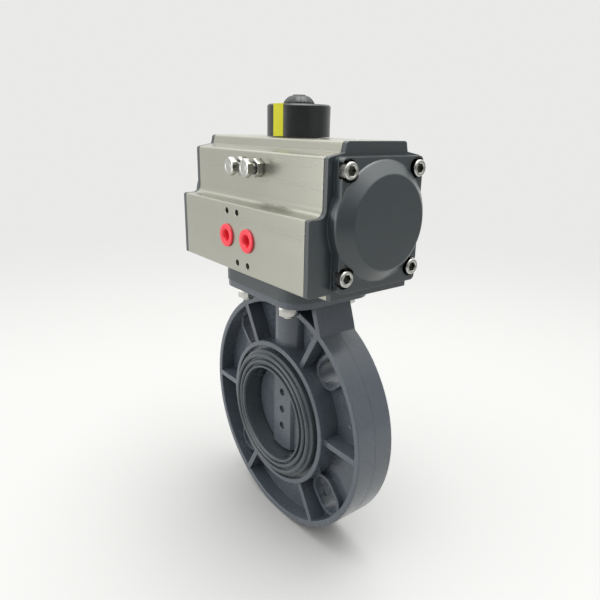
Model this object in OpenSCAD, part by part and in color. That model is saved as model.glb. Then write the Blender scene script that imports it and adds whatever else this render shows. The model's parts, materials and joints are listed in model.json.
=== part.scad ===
// Wafer butterfly valve with a rack-and-pinion air actuator.
// Frame: origin at the centre of the pipe bore, +Z up the stem, Y along the pipe,
// +X along the actuator. Millimetres. Drawn closed: the disc stands across the bore.

/* [Pipe bore and seat] */
// Diameter of the clear bore inside the rubber liner
bore_d = 68; // [57:1:82]
// Distance between the two sealing faces of the liner
face_to_face = 46; // [45:1:56]
// Thickness of the liner's sleeve around the bore
liner_wall = 6; // [5:0.5:8]
// Width of the liner's sealing lip beyond its sleeve
liner_lip_w = 7.6; // [6.3:0.1:9.1]
// Radial gap between the liner's lip and the hub ring
liner_gap = 2.9; // [1:0.1:3.5]
// Height of the sealing beads
bead_h = 2.2; // [1.5:0.1:3]

/* [Disc and stem] */
// Thickness of the disc's plate
disc_t = 16; // [13:0.5:19]
// Width of the thick band that holds the stem
band_w = 25; // [21:0.5:30]
// Thickness of the band
band_t = 22; // [20:0.5:26]
// Distance between the screw recesses in the band
recess_pitch = 14; // [12:0.5:16]
// Diameter of a screw recess
recess_d = 5.6; // [4.6:0.1:6.6]
// Diameter of the stem
stem_d = 12.6; // [10.6:0.1:15]
// Depth of the flats that make the stem's square end
stem_flat = 2; // [1.6:0.1:2.4]
// Gap between the disc's edge and the liner
disc_gap = 0.35; // [0.3:0.05:0.6]

/* [Valve body] */
// Distance from the hub ring to the outside of the rim
rim_reach = 33; // [27.5:0.5:39.5]
// Width of the rim along the pipe
rim_w = 30; // [26:1:35]
// Wall thickness of the rim
rim_wall = 4.5; // [3.8:0.1:5.4]
// Wall thickness of the hub ring
hub_wall = 3.5; // [3:0.1:4.2]
// How far the hub ring stands out of the rim's face
hub_proud = 3.4; // [1:0.1:4]
// Thickness of the web between hub and rim
web_t = 5; // [4:0.5:6]
// Number of ribs, one of them along +X
rib_count = 6; // [6:6:6]
// Thickness of a rib
rib_t = 4; // [3.4:0.1:4.8]
// Width of the slotted passages for the flange bolts
slot_w = 18; // [15:0.5:20]
// Wall around a slotted passage
slot_wall = 2.5; // [2:0.1:3]
// Length of the passage along the pipe
slot_tube_l = 14; // [12:0.5:17]
// Diameter of the round stem boss
stem_boss_d = 29.2; // [25:0.1:29.8]

/* [Neck and mounting plates] */
// Height of the top flange above the rim
neck_gap = 6; // [5:0.5:7.2]
// How far the top flange stands out beyond the neck's sides
neck_step = 4; // [3:0.1:5]
// How much wider the neck is where it meets the rim
neck_flare = 13; // [8:1:16]
// Thickness of the valve's top flange
flange_t = 4.4; // [3.6:0.1:5.4]
// Thickness of the adapter plate
plate_t = 9.8; // [8:0.1:11.8]
// Plate beyond the mounting washers along X
plate_edge_x = 11.75; // [9.5:0.25:14.25]
// Plate beyond the mounting washers along Y
plate_edge_y = 3.25; // [2.5:0.25:4]
// Corner radius of the adapter plate
plate_corner = 16.5; // [13.5:0.5:20]
// How far the plate's edge stands out of the flange below it
plate_proud = 0.5; // [0.3:0.1:1.5]
// Bolt circle of the mounting studs
stud_pcd = 70; // [66:0.5:71]
// Diameter of the mounting studs
stud_d = 8; // [6:0.5:9]

/* [Actuator] */
// Diameter of the cylinder bore
cyl_d = 63; // [60:1:76]
// Thickness of the side walls beside the cylinder
side_wall = 4.5; // [3.8:0.1:5.4]
// Wall over and under the cylinder, up to the top and bottom faces
cap_wall = 12.5; // [12:0.5:15]
// Height of the raised strip on top
top_strip_h = 6; // [5:0.5:7.2]
// Width of the raised strip on top
top_strip_w = 47; // [42:1:56]
// Metal of the pad underneath, outside the mounting studs
pad_edge = 2.2; // [1.8:0.1:2.7]
// Height of the flat pad underneath
pad_h = 4.5; // [4:0.1:5.4]
// How far the air-port block stands out of the side
port_block_out = 11.75; // [9.75:0.25:14]
// Height of the air-port block
port_block_h = 43.3; // [40.5:0.1:50]
// Thickness of the end caps' base
cap_base_t = 3; // [2.5:0.1:3.6]
// Height of the end caps' flat plateau over the base
cap_plateau_t = 6.4; // [5.4:0.1:7.7]
// How far the plateau stands in from the body's sides
plateau_in = 4.7; // [3.9:0.1:5.6]
// Height of the end caps' cone over the plateau
cap_cone_h = 6.6; // [5.5:0.1:7.9]
// How far the cone's flat front stands in from the cylinder's bore
cone_front_in = 4.5; // [3.7:0.1:5.4]
// How far the cone's foot stands out from the cylinder's bore
cone_foot_out = 3.5; // [2.9:0.1:4.2]
// Thickness of the gaskets under the end caps
gasket_t = 0.6; // [0.5:0.1:0.8]
// Diameter of the end-cap screws
cap_screw_d = 6; // [5:0.5:7]
// How far the end-cap screws stand in from the cylinder's sides
cap_screw_in_y = 4.8; // [4:0.1:5.7]
// How far the end-cap screws stand in from the cylinder's top and bottom
cap_screw_in_z = 2.3; // [1.9:0.1:2.8]
// Side distance between the two air ports, and between the holes round them
port_pitch = 24; // [20:0.5:28]
// Height distance between the holes over and under the air ports
port_hole_pitch = 32; // [28:0.5:34]
// Distance of the air ports over the block's lower edge
port_rise = 22; // [19.5:0.1:24]
// Diameter of the air ports
port_d = 11.5; // [9.6:0.1:13]
// Length of the top accessory hole pattern
accessory_pitch_x = 80; // [67:1:96]
// Width of the top accessory hole pattern
accessory_pitch_y = 30; // [25:1:34]
// Diameter of the small tapped holes
small_hole_d = 4.2; // [3.5:0.1:5]

/* [Rack and pinion] */
// Gear module
gear_module = 1.5; // [1.25:0.05:1.65]
// Number of pinion teeth, a multiple of four
pinion_teeth = 16; // [16:4:16]
// Height of the pinion's teeth along its axis
pinion_face = 26; // [24:1:30]
// Height of the racks
rack_h = 22; // [18:1:24]
// Thickness of the piston heads
piston_t = 13; // [12:0.5:15.5]
// Gap between a rack's tip and the other piston
rack_end_gap = 5.8; // [4.8:0.1:7]
// Gap between a piston and its end cap when the valve is open
end_gap = 4; // [3.3:0.1:4.8]
// Width across the flats of the pinion's square socket
socket_square = 14; // [12:0.5:16]
// Depth of the square socket
socket_depth = 18; // [15:0.5:21]
// Diameter of the travel-stop bolts
stop_bolt_d = 6; // [5:0.5:6.5]
// Distance between the travel-stop bolts
stop_pitch = 17.5; // [16.5:0.5:19]
// Distance of the travel stops under the body's shoulder
stop_drop = 9.9; // [8.2:0.1:11.9]

/* [Indicator] */
// Outer diameter of the indicator cup
cup_d = 40.6; // [38:0.2:48]
// Height of the indicator cup
cup_h = 19.5; // [18:0.5:23]
// Width of the yellow stripe
stripe_w = 8; // [6.6:0.1:11]
// Direction that the stripe faces when the valve is closed
stripe_angle = -77; // [-90:1:-60]
// Diameter of the indicator screw's head
cup_screw_d = 20; // [16.6:0.2:24]
// Height of the indicator screw's head
cup_screw_h = 5.8; // [4.8:0.1:9]

/* [Hidden] */
$fn = 64;

// Clearances, all radial
running = 0.06;      // shafts, pistons and stems in their bushes and bores
seated = 0.03;       // pieces pressed or dropped into a seat
thread_gap = 0.05;   // bolts in their threads
bolt_room = 0.4;     // plain holes round bolts
mesh_gap = 0.12;     // each side of a gear tooth
apart = 0.4;         // moving pieces that pass each other
cut = 1;             // how far a cutting tool runs past a face
edge_round = 0.9;    // rounding of the moulded rings
sink = 0.5;          // how far pieces of one solid run into each other

// Valve stack, from the bore outwards
bore_r = bore_d / 2;
stem_r = stem_d / 2;
stem_square = stem_d - 2 * stem_flat;
sleeve_r = bore_r + liner_wall;
lip_r = sleeve_r + liner_lip_w;
hub_in_r = lip_r + liner_gap;
hub_r = hub_in_r + hub_wall;
rim_r = hub_r + rim_reach;
rim_in_r = rim_r - rim_wall;
hub_face = rim_w / 2 + hub_proud;
lip_back = rim_w / 2;
lip_face = face_to_face / 2 - bead_h;
bead_half_w = 1.6;
slot_r_low = hub_r + 1 + slot_w / 2;
slot_r_high = rim_in_r - 1 - slot_w / 2;
slot_angles = [45, 135, 225, 315];

// Heights up the stem
flange_z = rim_r + neck_gap;
plate_z = flange_z + flange_t;
mount_z = plate_z + plate_t;
cyl_r = cyl_d / 2;
body_half_h = cyl_r + cap_wall;
cyl_z = mount_z + body_half_h;
top_z = cyl_z + body_half_h;
shoulder_z = top_z - top_strip_h - 1.8;
ledge_rise = 1.8;

// Mounting studs, and the plates that surround their washers
stud_offset = stud_pcd / 2 * sin(45);
washer_r = stud_d;
plate_half_l = stud_offset + washer_r + plate_edge_x;
plate_half_w = stud_offset + washer_r + plate_edge_y;

// Valve neck: each side leans from neck_x at the flange out to foot_x on the rim
neck_x = plate_half_l - plate_proud - neck_step;
foot_x = neck_x + neck_flare / 2;
foot_z = sqrt(rim_r * rim_r - foot_x * foot_x);
neck_wall = rim_wall;
neck_lean = (foot_x - neck_x) / (flange_z - foot_z);

// Bushes and seals round the stem
stem_bush_wall = 2.6;
stem_bush_r = stem_r + running + stem_bush_wall;
stem_bush_low_l = hub_r - sleeve_r - 3;
stem_bush_z = hub_r + 6;
stem_bush_l = flange_z - stem_bush_z;
seal_wire = 1.8;
seal_z = [stem_bush_z + 6, stem_bush_z + 12];
stem_low = -(sleeve_r + stem_bush_low_l - 0.6);

// Gearing
pitch_r = gear_module * pinion_teeth / 2;
tooth_out = 0.9 * gear_module;
tooth_in = 1.1 * gear_module;
pressure = 20;
base_r = pitch_r * cos(pressure);
gear_tip_r = pitch_r + tooth_out;
gear_root_r = pitch_r - tooth_in;
rack_out = 0.85 * gear_module;
rack_pitch = PI * gear_module;
travel = pitch_r * PI / 2;

// Actuator along X
rack_reach = travel + 8.5;
head_in = rack_reach + rack_end_gap;
head_out = head_in + piston_t;
body_half_l = head_out + travel + end_gap;
gasket_x = body_half_l + gasket_t;
base_x = gasket_x + cap_base_t;
plateau_x = base_x + cap_plateau_t;
cone_x = plateau_x + cap_cone_h;

// Actuator across Y
side_y = cyl_r + side_wall;
block_y = side_y + port_block_out;
block_low_z = mount_z + pad_h;
block_top_z = block_low_z + port_block_h;
port_z = block_low_z + port_rise;
pad_y = stud_offset + stud_d / 2 + pad_edge;
cap_screw_y = cyl_r - cap_screw_in_y;
cap_screw_z = cyl_r - cap_screw_in_z;
port_depth = 12;
air_way_d = 5;
air_way_y = port_depth - block_y - 1;
air_way_drop = 9;
air_way_t = 1.8;

// Pinion along Z
journal_r = gear_tip_r + 1.6;
pinion_low = mount_z + 1;
low_bush_l = 10;
bush_wall = 1.5;
low_bore_r = journal_r + running + bush_wall;
journal_bore_r = journal_r + 0.09;
gear_low = cyl_z - pinion_face / 2;
gear_top = cyl_z + pinion_face / 2;
stop_z = shoulder_z - stop_drop;
cam_t = 8;
cam_low = stop_z - cam_t / 2;
cam_top = stop_z + cam_t / 2;
cam_hub_r = stop_pitch / 2 + stop_bolt_d / 2 - 1.85;
cam_r = cam_hub_r + 4.6;
cam_face = 9;
cam_seat_r = 8;
pocket_r = cam_r + 1;
pocket_top = cam_top + 0.9;
neck_r = 7.8;
top_bush_wall = 2;
top_bore_r = neck_r + running + top_bush_wall;
top_bush_low = pocket_top + 0.6;
top_bush_l = top_z - 0.2 - top_bush_low;
washer_t = 0.9;
clip_t = 1.1;
clip_groove = 0.9;
clip_z = top_z + 0.05 + washer_t + 0.05;
shaft_step_z = clip_z + clip_t + 2.6;
shaft_top = top_z + 13.5;
tap_r = 2.5;

// Pistons
head_r = cyl_r - 0.3;
ring_r = cyl_r - running;
seal_groove = 3.2;
seal_wire_r = seal_groove / 2 - 0.15;
seal_depth = head_r - ring_r + 2 * seal_wire_r + seated;
guide_w = 4;
guide_t = 1.6;
rack_root_y = pitch_r + tooth_in + 0.2;
rack_back_y = sqrt(pow(head_r - 2.4, 2) - rack_h * rack_h / 4);
pad_half_h = rack_h / 2 - 3;

// Fasteners
screw_head_r = cap_screw_d * 5 / 6;
screw_head_h = cap_screw_d;
screw_seat_x = plateau_x - 3.5;
screw_reach = 14;
stop_af = stop_bolt_d * 5 / 3;
stop_nut_t = 5;
stop_head_t = 4;
stop_out = 12;
nut_af = stud_d * 13 / 8;
nut_t = stud_d * 0.8;
stud_washer_t = 1.6;
stud_up = 12;

// Indicator
cup_r = cup_d / 2;
cup_low = top_z + 0.5;
cup_top = cup_low + cup_h;
cup_wall = 2.8;
stripe_t = 1;

// Points on an arc, from angle a to angle b round a centre
function arc(centre, r, a, b, steps = 5) =
    [for (i = [0 : steps]) let (t = a + (b - a) * i / steps)
        [centre[0] + r * cos(t), centre[1] + r * sin(t)]];

// A cylinder along X or along Y
module rod_x(r, x0, x1) {
    translate([x0, 0, 0]) rotate([0, 90, 0]) cylinder(r = r, h = x1 - x0);
}
module rod_y(r, y0, y1) {
    translate([0, y1, 0]) rotate([90, 0, 0]) cylinder(r = r, h = y1 - y0);
}

// A cone along X, from radius r0 at x0 to radius r1 at x1
module cone_rod_x(r0, r1, x0, x1) {
    translate([x0, 0, 0]) rotate([0, 90, 0]) cylinder(r1 = r0, r2 = r1, h = x1 - x0);
}

// A hexagonal prism along Z, flats facing Y
module hex(af, h) {
    cylinder(r = af / sqrt(3), h = h, $fn = 6);
}

// A hexagonal head or nut along Z, its corners turned off at both ends
module hex_head(af, h) {
    low = af / 2 + 0.1;
    high = low + h * tan(60);
    intersection() {
        hex(af, h);
        cylinder(r1 = low, r2 = high, h = h);
        cylinder(r1 = high, r2 = low, h = h);
    }
}

// A ring along Y with rounded edges
module ring_y(r_in, r_out, half_l, edge) {
    rotate([90, 0, 0]) rotate_extrude() polygon(concat(
        arc([r_out - edge, half_l - edge], edge, 0, 90, 3),
        arc([r_in + edge, half_l - edge], edge, 90, 180, 3),
        arc([r_in + edge, edge - half_l], edge, 180, 270, 3),
        arc([r_out - edge, edge - half_l], edge, 270, 360, 3)));
}

// A tube along Z
module tube(r_in, r_out, z0, z1) {
    translate([0, 0, z0]) difference() {
        cylinder(r = r_out, h = z1 - z0);
        translate([0, 0, -cut]) cylinder(r = r_in, h = z1 - z0 + 2 * cut);
    }
}

// A ring of round section about Z
module ring_z(major, wire) {
    rotate_extrude() translate([major, 0]) circle(r = wire, $fn = 24);
}

// A plate with round corners, centred on the stem, given by its half sizes
module round_plate(half_l, half_w, corner, z0, z1) {
    l = half_l - corner;
    w = half_w - corner;
    h = z1 - z0;
    translate([0, 0, z0]) {
        translate([-half_l, -w, 0]) cube([2 * half_l, 2 * w, h]);
        translate([-l, -half_w, 0]) cube([2 * l, 2 * half_w, h]);
        for (x = [-l, l], y = [-w, w]) translate([x, y, 0]) cylinder(r = corner, h = h);
    }
}

// Places its children at the four mounting studs
module at_studs() {
    for (x = [-1, 1], y = [-1, 1]) translate([x * stud_offset, y * stud_offset, 0]) children();
}

// Places its children, drawn along +X from the origin, at the four screws of a cap
module at_cap_screws() {
    for (y = [-1, 1], z = [-1, 1])
        translate([0, y * cap_screw_y, cyl_z + z * cap_screw_z]) children();
}

// ---- Valve ----

// A radial bar with round ends, drawn along Y: a bolt slot, or the wall round it
module slot_bar(angle, w, r0, r1, half_l) {
    rotate([90, -angle, 0]) translate([0, 0, -half_l]) linear_extrude(2 * half_l)
        polygon(concat(arc([r1, 0], w / 2, -90, 90, 16), arc([r0, 0], w / 2, 90, 270, 16)));
}

// A shape on the XZ plane, as thick as given along Y
module slab_y(w) {
    rotate([90, 0, 0]) translate([0, 0, -w / 2]) linear_extrude(w) children();
}

// One side wall of the neck, a leaning plate that stands in the rim
module neck_side() {
    slab_y(rim_w) polygon([[foot_x + 2 * neck_lean, foot_z - 2],
        [neck_x - sink * neck_lean, flange_z + sink],
        [neck_x - neck_wall - sink * neck_lean, flange_z + sink],
        [foot_x - neck_wall, foot_z]]);
}

module valve_shell() {
    // Rim, hub ring and hub
    ring_y(rim_in_r, rim_r, rim_w / 2, edge_round);
    ring_y(sleeve_r - 3, hub_r, hub_face, edge_round);
    // Web at mid depth, between hub and rim and up between the neck's sides
    rod_y(rim_in_r + 1.5, -web_t / 2, web_t / 2);
    slab_y(web_t) polygon([[1 - foot_x, foot_z - 2], [foot_x - 1, foot_z - 2],
        [neck_x - 1, flange_z + sink], [1 - neck_x, flange_z + sink]]);
    // Ribs
    for (i = [0 : rib_count - 1]) rotate([0, -360 / rib_count * i, 0])
        translate([hub_r - 2, -rim_w / 2, -rib_t / 2]) cube([rim_in_r - hub_r + 4, rim_w, rib_t]);
    // Walls round the bolt slots
    for (a = slot_angles)
        slot_bar(a, slot_w + 2 * slot_wall, slot_r_low, slot_r_high, slot_tube_l / 2);
    // Stem boss, neck and top flange
    translate([0, 0, sleeve_r]) cylinder(r = stem_boss_d / 2, h = flange_z - sleeve_r + sink);
    neck_side();
    mirror([1, 0, 0]) neck_side();
    round_plate(plate_half_l - plate_proud, plate_half_w - plate_proud,
        plate_corner - plate_proud, flange_z, plate_z);
}

module valve_body() {
    color([0.20, 0.23, 0.26]) difference() {
        valve_shell();
        // Seat for the liner's sleeve and for its lips
        rod_y(sleeve_r + seated, -hub_face - cut, hub_face + cut);
        rod_y(hub_in_r, -hub_face - cut, -lip_back);
        rod_y(hub_in_r, lip_back, hub_face + cut);
        // Slots for the flange bolts
        for (a = slot_angles) slot_bar(a, slot_w, slot_r_low, slot_r_high, rim_w);
        // Stem bore through the boss, and the blind one opposite
        translate([0, 0, sleeve_r - cut]) cylinder(r = stem_r + running, h = plate_z);
        translate([0, 0, stem_bush_z]) cylinder(r = stem_bush_r + seated, h = plate_z);
        translate([0, 0, -sleeve_r - stem_bush_low_l])
            cylinder(r = stem_bush_r + seated, h = stem_bush_low_l + cut);
        // Passages for the mounting studs
        at_studs() translate([0, 0, flange_z - cut])
            cylinder(r = stud_d / 2 + bolt_room, h = flange_t + 2 * cut);
    }
}

module seat_liner() {
    face = face_to_face / 2;
    half = [[bore_r, 0], [bore_r, face - 4], [bore_r + 0.3, face - 1.2], [bore_r + 1, face],
        [bore_r + 2.2, face], [bore_r + 2.8, lip_face], [lip_r - 1.2, lip_face],
        [lip_r, lip_face - 1], [lip_r, lip_back + seated], [sleeve_r, lip_back + seated],
        [sleeve_r, 0]];
    // Two round beads on each face, as high as the lip's inner edge
    bead_r = [bore_r + 5.4, lip_r - 3.7];
    color([0.11, 0.13, 0.12]) difference() {
        rotate([90, 0, 0]) for (side = [0, 1]) mirror([0, 0, side]) rotate_extrude() {
            polygon(half);
            for (r = bead_r) translate([r, face - bead_half_w]) circle(r = bead_half_w, $fn = 24);
        }
        // Stem holes
        cylinder(r = stem_r + running, h = 2 * sleeve_r + 4, center = true);
    }
}

module disc() {
    color([0.24, 0.27, 0.30]) difference() {
        intersection() {
            sphere(r = bore_r - disc_gap, $fn = 96);
            union() {
                translate([-bore_r, -disc_t / 2, -bore_r]) cube([bore_d, disc_t, bore_d]);
                linear_extrude(bore_d, center = true) polygon([
                    [band_w / 2, -disc_t / 2], [band_w / 2 - 2.2, -band_t / 2],
                    [2.2 - band_w / 2, -band_t / 2], [-band_w / 2, -disc_t / 2],
                    [-band_w / 2, disc_t / 2], [2.2 - band_w / 2, band_t / 2],
                    [band_w / 2 - 2.2, band_t / 2], [band_w / 2, disc_t / 2]]);
            }
        }
        cylinder(r = stem_r + seated, h = bore_d + 2, center = true);
        for (i = [-1 : 1]) translate([0, 0, i * recess_pitch]) rod_y(recess_d / 2, -band_t, 0);
    }
}

// Three socket screws that press on the stem from inside their recesses
module disc_screws() {
    tip = -stem_r - 0.05;
    length = 2.6;
    color([0.45, 0.46, 0.47]) for (i = [-1 : 1]) translate([0, 0, i * recess_pitch]) difference() {
        rod_y(recess_d / 2 - thread_gap, tip - length, tip);
        translate([0, tip - length + 1.2, 0]) rotate([90, 0, 0]) hex(2.5, 3);
    }
}

module stem() {
    square_low = plate_z - 3;
    square_top = pinion_low + socket_depth - 2;
    color([0.72, 0.73, 0.74]) union() {
        translate([0, 0, stem_low]) cylinder(r = stem_r, h = square_low - stem_low);
        translate([-stem_square / 2, -stem_square / 2, square_low - 0.5])
            cube([stem_square, stem_square, square_top - square_low + 0.5]);
    }
}

module stem_bush_upper() {
    color([0.85, 0.84, 0.78]) difference() {
        tube(stem_r + running, stem_bush_r, stem_bush_z, stem_bush_z + stem_bush_l);
        for (z = seal_z) translate([0, 0, z - seal_wire / 2])
            cylinder(r = stem_r + seal_wire, h = seal_wire);
    }
}

module stem_bush_lower() {
    color([0.85, 0.84, 0.78])
        tube(stem_r + running, stem_bush_r, -sleeve_r - stem_bush_low_l, -sleeve_r - 0.4);
}

module stem_seals() {
    wire = seal_wire / 2 - 0.05;
    color([0.08, 0.08, 0.08]) for (z = seal_z) translate([0, 0, z])
        ring_z(stem_r + running + wire, wire);
}

// Square sleeve that fills the pinion's socket round the stem's square end
module drive_sleeve() {
    outer = socket_square - 2 * seated;
    inner = stem_square + 2 * seated;
    h = socket_depth - 3;
    color([0.60, 0.61, 0.62]) translate([0, 0, pinion_low + 0.5]) difference() {
        translate([-outer / 2, -outer / 2, 0]) cube([outer, outer, h]);
        translate([-inner / 2, -inner / 2, -cut]) cube([inner, inner, h + 2 * cut]);
    }
}

// ---- Mounting plate and its fasteners ----

module adapter_plate() {
    color([0.22, 0.25, 0.28]) difference() {
        round_plate(plate_half_l, plate_half_w, plate_corner, plate_z, mount_z);
        translate([0, 0, plate_z - cut]) cylinder(r = journal_r, h = plate_t + 2 * cut);
        at_studs() translate([0, 0, plate_z - cut])
            cylinder(r = stud_d / 2 + bolt_room, h = plate_t + 2 * cut);
    }
}

module mount_studs() {
    low = flange_z - stud_washer_t - nut_t - 2.5;
    color([0.70, 0.70, 0.70]) at_studs() translate([0, 0, low])
        cylinder(r = stud_d / 2, h = mount_z + stud_up - low);
}

module mount_nuts() {
    color([0.78, 0.78, 0.76]) at_studs() translate([0, 0, flange_z - stud_washer_t - nut_t])
        difference() {
            hex_head(nut_af, nut_t);
            translate([0, 0, -cut]) cylinder(r = stud_d / 2 + thread_gap, h = nut_t + 2 * cut);
        }
}

module mount_washers() {
    color([0.75, 0.75, 0.74]) at_studs()
        tube(stud_d / 2 + bolt_room, washer_r, flange_z - stud_washer_t, flange_z);
}

// ---- Actuator body ----

// Outline of the body across Y and Z: pad below, port block on the -Y side, strip on top
function body_outline() = concat(
    [[pad_y, mount_z], [pad_y, mount_z + 8], [side_y, mount_z + 13]],
    arc([side_y - 2, shoulder_z - 2], 2, 0, 80),
    [[top_strip_w / 2 + 1, shoulder_z + ledge_rise]],
    arc([top_strip_w / 2 - 2, top_z - 2], 2, 0, 90),
    arc([2 - top_strip_w / 2, top_z - 2], 2, 90, 180),
    [[-top_strip_w / 2 - 1, shoulder_z + ledge_rise]],
    arc([2 - side_y, shoulder_z - 2], 2, 100, 180),
    arc([-side_y - 5, block_top_z + 5], 5, 0, -90),
    arc([1.5 - block_y, block_top_z - 1.5], 1.5, 90, 180),
    arc([1 - block_y, block_low_z + 1], 1, 180, 270),
    [[-pad_y, block_low_z], [-pad_y, mount_z]]);

// The outline as a slab from x0 to x1
module body_slab(x0, x1) {
    translate([x0, 0, 0]) rotate([90, 0, 90]) linear_extrude(x1 - x0) polygon(body_outline());
}

// Places its children, drawn into -Y from the face, round the port block's face
module at_port_face(x, z) {
    translate([x, -block_y, z]) children();
}

module actuator_body() {
    color([0.66, 0.66, 0.61]) difference() {
        body_slab(-body_half_l, body_half_l);
        // Cylinder
        translate([0, 0, cyl_z]) rod_x(cyl_r, -body_half_l - cut, body_half_l + cut);
        // Pinion bores below and above, and the cam's pocket
        translate([0, 0, mount_z - cut]) cylinder(r = journal_bore_r, h = body_half_h);
        translate([0, 0, mount_z - cut])
            cylinder(r = low_bore_r + seated, h = pinion_low + low_bush_l + 0.2 - mount_z + cut);
        translate([0, 0, cyl_z]) cylinder(r = pocket_r, h = pocket_top - cyl_z);
        translate([0, 0, cyl_z]) cylinder(r = top_bore_r + seated, h = body_half_h + cut);
        // Air ports: one into the middle of the cylinder, one into the way to both ends
        for (side = [-1, 1]) at_port_face(side * port_pitch / 2, port_z)
            rod_y(port_d / 2, -cut, port_depth);
        at_port_face(-port_pitch / 2, port_z) rod_y(air_way_d / 2, 0, block_y);
        translate([0, air_way_y, port_z]) rod_x(air_way_d / 2, port_pitch / 2, body_half_l + cut);
        translate([0, air_way_y, port_z - air_way_drop])
            rod_x(air_way_d / 2, -body_half_l - cut, port_pitch / 2 + air_way_d / 2);
        translate([port_pitch / 2, air_way_y, port_z - air_way_drop])
            cylinder(r = air_way_d / 2, h = air_way_drop);
        // Screw holes over and under the ports, and the two locating holes
        for (side = [-1, 1]) {
            at_port_face(0, port_z + side * port_hole_pitch / 2) rod_y(small_hole_d / 2, -cut, 9);
            at_port_face(side * port_pitch / 2, port_z - side * port_hole_pitch / 2)
                rod_y(small_hole_d / 2, -cut, 6);
        }
        // Top accessory pattern
        for (x = [-1, 1], y = [-1, 1])
            translate([x * accessory_pitch_x / 2, y * accessory_pitch_y / 2, top_z - 8])
                cylinder(r = small_hole_d / 2, h = 8 + cut);
        // Travel stops
        for (side = [-1, 1]) translate([side * stop_pitch / 2, 0, stop_z])
            rod_y(stop_bolt_d / 2 + thread_gap, -side_y - cut, -cam_face);
        // Studs below and cap screws at both ends
        at_studs() translate([0, 0, mount_z - cut])
            cylinder(r = stud_d / 2 + thread_gap, h = stud_up + 1 + cut);
        for (side = [0, 1]) mirror([side, 0, 0]) at_cap_screws()
            rod_x(cap_screw_d / 2 + thread_gap, body_half_l - screw_reach, body_half_l + cut);
    }
}

// ---- End caps ----

module cap_gasket(air_z) {
    color([0.10, 0.10, 0.10]) difference() {
        body_slab(body_half_l, gasket_x);
        translate([0, 0, cyl_z]) rod_x(cyl_r, body_half_l - cut, gasket_x + cut);
        at_cap_screws() rod_x(cap_screw_d / 2 + bolt_room, body_half_l - cut, gasket_x + cut);
        translate([0, air_way_y, air_z]) rod_x(air_way_d / 2, body_half_l - cut, gasket_x + cut);
    }
}

// Flat plateau that carries the cone and the four screws
module cap_plateau() {
    corner = 3;
    y = side_y - plateau_in - corner;
    low = mount_z + 5.8 + corner;
    high = shoulder_z - 0.2 - corner;
    translate([base_x - 1, 0, 0]) rotate([90, 0, 90]) linear_extrude(plateau_x - base_x + 1)
        polygon(concat(
            arc([y, high], corner, 0, 90), arc([-y, high], corner, 90, 180),
            arc([-y, low], corner, 180, 270), arc([y, low], corner, 270, 360)));
}

// The cone about the cylinder's axis, rounded at its foot and round its flat front
module cap_cone(foot_r, front_r) {
    lean = atan2(foot_r - front_r, cap_cone_h);
    foot_round = 3;
    front_round = 1.8;
    foot_turn = foot_round * tan(lean / 2);
    front_turn = front_round * tan((90 - lean) / 2);
    rotate([0, 90, 0]) rotate_extrude() polygon(concat(
        [[0, base_x - 1], [foot_r, base_x - 1]],
        arc([foot_r - foot_round, plateau_x - foot_turn], foot_round, 0, lean, 6),
        arc([front_r - front_turn, cone_x - front_round], front_round, lean, 90, 6),
        [[0, cone_x]]));
}

module end_cap(air_z) {
    wall = 4;
    foot_r = cyl_r + cone_foot_out;
    front_r = cyl_r - cone_front_in;
    color([0.25, 0.28, 0.30]) difference() {
        union() {
            body_slab(gasket_x, base_x);
            cap_plateau();
            translate([0, 0, cyl_z]) {
                cap_cone(foot_r, front_r);
            }
        }
        // Hollow behind the cone
        translate([0, 0, cyl_z]) {
            rod_x(front_r - 1, gasket_x - cut, plateau_x);
            cone_rod_x(front_r - 1, front_r - wall, plateau_x, cone_x - wall);
        }
        // Channel that leads air from the body's passage into the hollow
        translate([gasket_x - cut, air_way_y, air_z])
            rotate([atan2(cyl_z - air_z, -air_way_y), 0, 0])
                translate([0, -air_way_d / 2, -air_way_d / 2])
                    cube([cut + air_way_t, 14 - air_way_y - front_r, air_way_d]);
        // Screw holes and the shallow seats of the screw heads
        at_cap_screws() {
            rod_x(cap_screw_d / 2 + bolt_room, gasket_x - cut, cone_x);
            rod_x(screw_head_r + 1.2, screw_seat_x, cone_x + cut);
        }
    }
}

module cap_screws() {
    socket_af = cap_screw_d * 5 / 6;
    color([0.80, 0.80, 0.79]) at_cap_screws() difference() {
        union() {
            rod_x(cap_screw_d / 2, body_half_l - screw_reach + 1, screw_seat_x + 0.5);
            rod_x(screw_head_r, screw_seat_x, screw_seat_x + screw_head_h - 0.6);
            cone_rod_x(screw_head_r, screw_head_r - 0.6, screw_seat_x + screw_head_h - 0.6,
                screw_seat_x + screw_head_h);
        }
        translate([screw_seat_x + screw_head_h - 3, 0, 0]) rotate([0, 90, 0]) hex(socket_af, 3 + cut);
    }
}

// ---- Travel stops and port plugs ----

module stop_bolt() {
    tip = -cam_face - 0.3;
    color([0.78, 0.78, 0.76]) translate([stop_pitch / 2, 0, stop_z]) {
        rod_y(stop_bolt_d / 2, -side_y - stop_out + 0.5, tip);
        translate([0, -side_y - stop_out + stop_head_t, 0]) rotate([90, 0, 0]) hex_head(stop_af, stop_head_t);
    }
}

module stop_nut() {
    color([0.74, 0.74, 0.72]) translate([stop_pitch / 2, -side_y, stop_z]) rotate([90, 0, 0])
        difference() {
            hex_head(stop_af, stop_nut_t);
            translate([0, 0, -cut]) cylinder(r = stop_bolt_d / 2 + thread_gap, h = stop_nut_t + 2 * cut);
        }
}

module port_plug() {
    flange_r = port_d / 2 + 1.75;
    color([0.90, 0.27, 0.32]) at_port_face(port_pitch / 2, port_z) difference() {
        union() {
            rod_y(flange_r, -1.5, 0);
            rod_y(port_d / 2 - seated, -0.5, 9);
        }
        rod_y(port_d / 2 - 2.5, -2.5, 7.5);
    }
}

// ---- Pinion and what sits on it ----

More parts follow.
